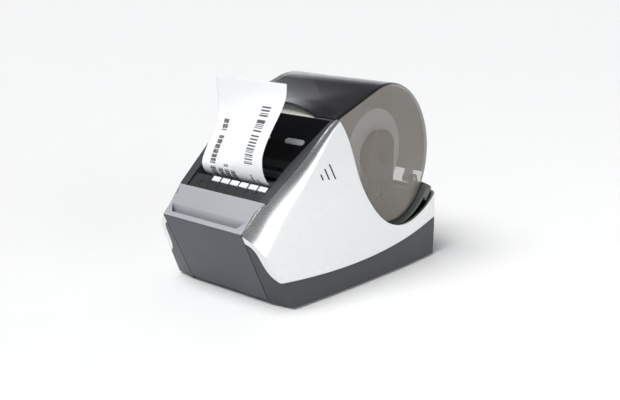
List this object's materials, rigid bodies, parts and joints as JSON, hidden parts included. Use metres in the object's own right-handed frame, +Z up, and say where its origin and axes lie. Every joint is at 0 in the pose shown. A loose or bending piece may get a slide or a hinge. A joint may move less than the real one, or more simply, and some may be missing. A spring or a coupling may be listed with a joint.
{
  "type": "label printer",
  "caption": "Desktop roll-fed label printer with a smoked hinged roll cover, silver side shells, tilting front cover, drive gears, cutter and a printed label in its exit.",
  "frame": {"origin": "centre of the bounding box in plan, at the resting plane under the feet", "axes": "+X to the right seen from the front, +Y towards the rear, +Z up"},
  "size_m": [0.132, 0.2029, 0.149],
  "materials": {
    "silver_plastic": "satin silver paint",
    "slate_plastic": "fine texture",
    "cover_slate": "satin",
    "ledge_grey": "satin",
    "gloss_black": "polished",
    "smoke_clear": "smoked clear plastic",
    "grey_button": "satin",
    "light_plastic": "translucent",
    "inner_black": "fine texture",
    "cradle_grey": "satin",
    "paper": "coated label paper",
    "steel": "brushed",
    "rubber": "matt",
    "gear_plastic": "moulded acetal",
    "circuit_board": "solder mask",
    "component_black": "moulded",
    "ceramic": "ground"
  },
  "bodies": {
    "printer_body": {"base_housing": "slate_plastic", "right_side_shell": "silver_plastic", "left_side_shell": "silver_plastic", "side_marks": "inner_black", "roll_cradle": "cradle_grey", "top_frame": "slate_plastic", "control_panel": "gloss_black", "thumb_recess": "silver_plastic", "compartment_wall": "inner_black", "status_lens": "light_plastic", "button_board": "circuit_board", "tact_switches": "component_black", "cover_hinge_pins": "steel", "front_cover_pins": "steel", "label_web": "paper", "printed_label": "paper", "roll_holder_right": "inner_black", "roll_holder_left": "inner_black", "exit_guide": "inner_black", "light_segments": "light_plastic", "platen_bushes": "gear_plastic", "idler_axle": "steel", "feed_motor": "steel", "fixed_blade": "steel", "cutter_motor": "steel", "head_pivot_rod": "steel", "head_springs": "steel", "chassis_frame": "steel", "chassis_screws": "steel", "web_guide": "inner_black", "label_sensor": "component_black", "main_board": "circuit_board", "board_chips": "component_black", "board_posts": "slate_plastic", "power_inlet": "component_black", "usb_socket": "steel", "rubber_feet": "rubber", "case_screws": "steel"},
    "roll_cover": {"roll_cover": "smoke_clear"},
    "front_cover": {"front_panel": "cover_slate", "front_ledge": "ledge_grey"},
    "power_button": {"power_button": "grey_button"},
    "feed_button": {"feed_button": "grey_button"},
    "label_spool": {"spool_core": "inner_black", "spool_flange_left": "inner_black", "spool_flange_right": "inner_black", "label_roll": "paper"},
    "platen": {"platen_roller": "rubber", "platen_shaft": "steel", "platen_gear": "gear_plastic"},
    "idler": {"idler_gear": "gear_plastic"},
    "pinion": {"motor_pinion": "gear_plastic"},
    "cutter": {"moving_blade": "steel"},
    "cutter_drive": {"cutter_pinion": "gear_plastic"},
    "head": {"print_head": "ceramic", "head_bracket": "steel"}
  },
  "joints": [
    {"name": "roll_cover_hinge", "type": "hinge", "parent": "printer_body", "child": "roll_cover", "pos_m": [0, 0.0945, 0.06], "axis": [-1, 0, 0], "range_deg": [0, 75]},
    {"name": "front_cover_hinge", "type": "hinge", "parent": "printer_body", "child": "front_cover", "pos_m": [0, -0.069, 0.008], "axis": [1, 0, 0], "range_deg": [0, 30]},
    {"name": "power_button_press", "type": "slide", "parent": "printer_body", "child": "power_button", "axis": [0, 0.6019, -0.7986], "range_m": [0, 0.0006], "stiffness_N_per_m": 200, "springref_m": -0.0002},
    {"name": "feed_button_press", "type": "slide", "parent": "printer_body", "child": "feed_button", "axis": [0, 0.6019, -0.7986], "range_m": [0, 0.0006], "stiffness_N_per_m": 200, "springref_m": -0.0002},
    {"name": "spool_spin", "type": "hinge", "parent": "printer_body", "child": "label_spool", "pos_m": [0, 0.056, 0.084], "axis": [1, 0, 0], "continuous": true},
    {"name": "platen_spin", "type": "hinge", "parent": "printer_body", "child": "platen", "pos_m": [0, -0.048, 0.077], "axis": [1, 0, 0], "continuous": true},
    {"name": "idler_spin", "type": "hinge", "parent": "printer_body", "child": "idler", "pos_m": [0, -0.03927, 0.04943], "axis": [1, 0, 0], "continuous": true},
    {"name": "pinion_spin", "type": "hinge", "parent": "printer_body", "child": "pinion", "pos_m": [0, -0.045, 0.026], "axis": [1, 0, 0], "continuous": true},
    {"name": "cutter_slide", "type": "slide", "parent": "printer_body", "child": "cutter", "axis": [0, 0.6428, 0.766], "range_m": [0, 0.003]},
    {"name": "cutter_pinion_spin", "type": "hinge", "parent": "printer_body", "child": "cutter_drive", "pos_m": [0, -0.0629, 0.05948], "axis": [1, 0, 0], "range_deg": [-48, 0]},
    {"name": "head_pivot", "type": "hinge", "parent": "printer_body", "child": "head", "pos_m": [0, -0.026, 0.06], "axis": [1, 0, 0], "range_deg": [0, 3], "stiffness_Nm_per_rad": 0.6, "springref_deg": -3.44, "deforming": ["head_springs"]}
  ],
  "couplings": [
    {"joint": "idler_spin", "follows": "platen_spin", "ratio": -0.56522},
    {"joint": "pinion_spin", "follows": "platen_spin", "ratio": 1.8571},
    {"joint": "cutter_pinion_spin", "follows": "cutter_slide", "rad_per_m": -277.78}
  ]
}
